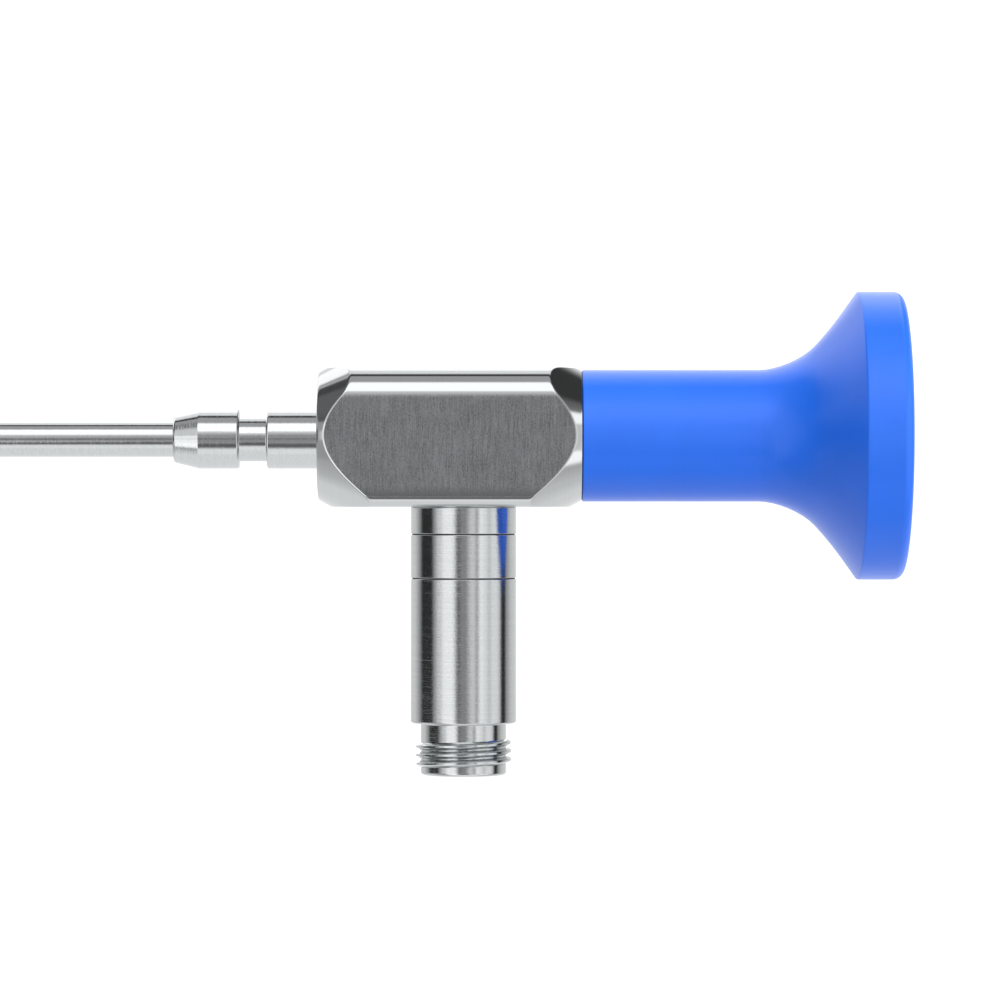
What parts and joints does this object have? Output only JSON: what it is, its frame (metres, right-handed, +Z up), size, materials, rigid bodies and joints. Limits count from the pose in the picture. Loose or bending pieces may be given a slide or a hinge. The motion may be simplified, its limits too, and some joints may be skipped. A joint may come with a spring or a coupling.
{
  "type": "rigid endoscope",
  "caption": "Rigid straight endoscope with a slanting tip, a lock collar, a square-section body, a light post with screw-on adapters, and a flared blue eyecup.",
  "frame": {"origin": "on the surface that the scope lies on, under the middle of its bounding box", "axes": "+Z up; +X from the shaft's tip towards the eyecup, level; the light post points to -Y and down"},
  "size_m": [0.2218, 0.0532, 0.0319],
  "materials": {
    "satin_steel": "finely ground stainless steel",
    "polished_steel": "turned and polished stainless steel",
    "blue_plastic": "satin moulded high-temperature plastic",
    "black_metal": "black anodised",
    "optical_glass": "polished and coated",
    "fibre_glass": "bonded glass fibres, ends polished",
    "seal_rubber": "moulded silicone"
  },
  "bodies": {
    "root": {"adapter_ring": "polished_steel", "adapter_sleeve": "polished_steel", "body_block": "satin_steel", "cone_sleeve": "polished_steel", "distal_window": "optical_glass", "eyecup": "blue_plastic", "eyecup_seal": "seal_rubber", "eyepiece_housing": "polished_steel", "eyepiece_window": "optical_glass", "field_stop": "black_metal", "front_prism": "optical_glass", "light_cone": "optical_glass", "light_fibres": "fibre_glass", "light_post": "polished_steel", "negative_lens": "optical_glass", "objective_lens_front": "optical_glass", "objective_lens_rear": "optical_glass", "ocular_lens_front": "optical_glass", "ocular_lens_rear": "optical_glass", "ocular_retainer": "black_metal", "optics_tube": "polished_steel", "outer_shaft": "polished_steel", "post_window": "optical_glass", "rear_prism": "optical_glass", "rear_spacer": "black_metal", "ring_seal": "seal_rubber", "rod_lens_1": "optical_glass", "rod_lens_2": "optical_glass", "rod_lens_3": "optical_glass", "rod_lens_4": "optical_glass", "rod_lens_5": "optical_glass", "rod_lens_6": "optical_glass", "rod_spacer_1": "black_metal", "rod_spacer_2": "black_metal", "rod_spacer_3": "black_metal", "rod_spacer_4": "black_metal", "rod_spacer_5": "black_metal", "rod_spacer_6": "black_metal", "shaft_collar": "polished_steel", "sleeve_seal": "seal_rubber", "window_ring": "black_metal"}
  },
  "joints": []
}
